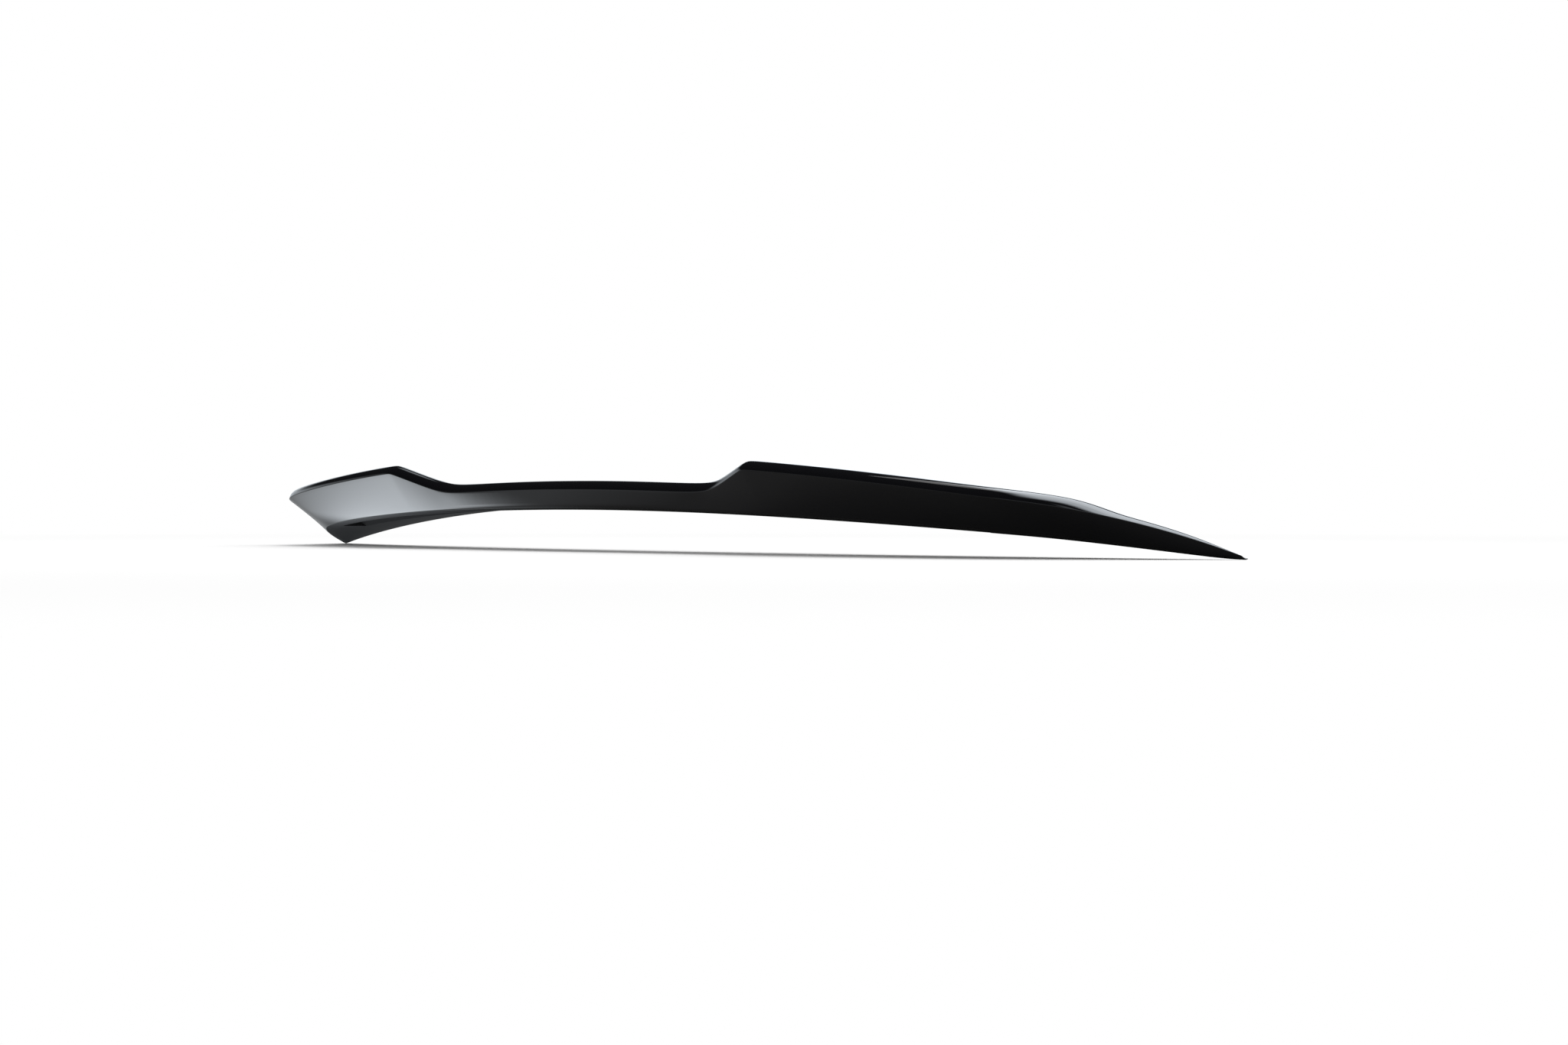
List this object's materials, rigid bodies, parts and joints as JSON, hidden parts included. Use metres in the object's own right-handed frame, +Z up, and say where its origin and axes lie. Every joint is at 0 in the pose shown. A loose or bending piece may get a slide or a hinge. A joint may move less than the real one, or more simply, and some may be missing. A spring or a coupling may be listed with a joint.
{
  "type": "spoiler extension",
  "caption": "Slim gloss-black lip for the trailing edge of a roof spoiler, with raised wings, a lower middle and swept pointed ends over an open underside.",
  "frame": {"origin": "middle of the bonding land, on the underside of the front flange at mid-span", "axes": "+X to the right along the span, +Y forwards from the trailing edge to the front flange, +Z up, as it is worn"},
  "size_m": [1.144, 0.1581, 0.0658],
  "materials": {
    "gloss_black": "high gloss, slightly wavy moulded surface"
  },
  "bodies": {
    "root": {"spoiler_extension": "gloss_black"}
  },
  "joints": []
}
